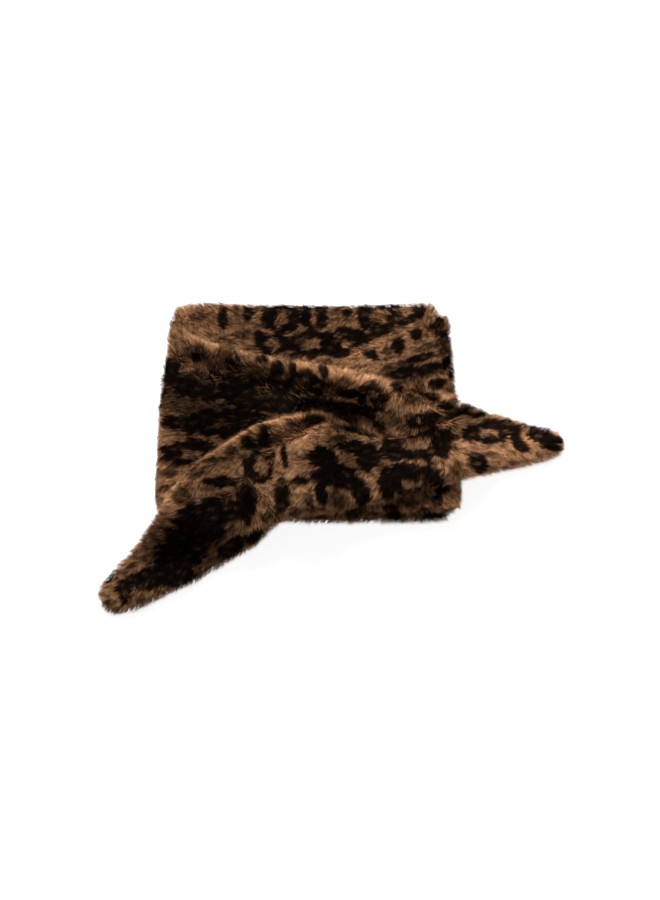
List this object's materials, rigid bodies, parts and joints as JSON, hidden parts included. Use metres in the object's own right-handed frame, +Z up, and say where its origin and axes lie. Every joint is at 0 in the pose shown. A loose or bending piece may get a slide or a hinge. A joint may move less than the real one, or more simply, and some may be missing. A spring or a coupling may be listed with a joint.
{
  "type": "fur collar wrap",
  "caption": "Pull-through faux-fur collar wrap with pointed ends, laid flat with its neck loop pressed shut and one end drawn through the slit.",
  "frame": {"origin": "middle of the whole outline, on the surface that the wrap lies on", "axes": "+X from the end that is pulled through towards the other pointed end, +Y towards the top edge of the neck loop, +Z up from the surface"},
  "size_m": [0.3719, 0.2498, 0.0635],
  "materials": {
    "faux_fur": "soft pile with a low sheen"
  },
  "bodies": {
    "root": {"back_neck_band": "faux_fur", "right_front_band": "faux_fur", "left_front_band": "faux_fur", "pulled_tail": "faux_fur", "right_tail": "faux_fur"}
  },
  "joints": []
}
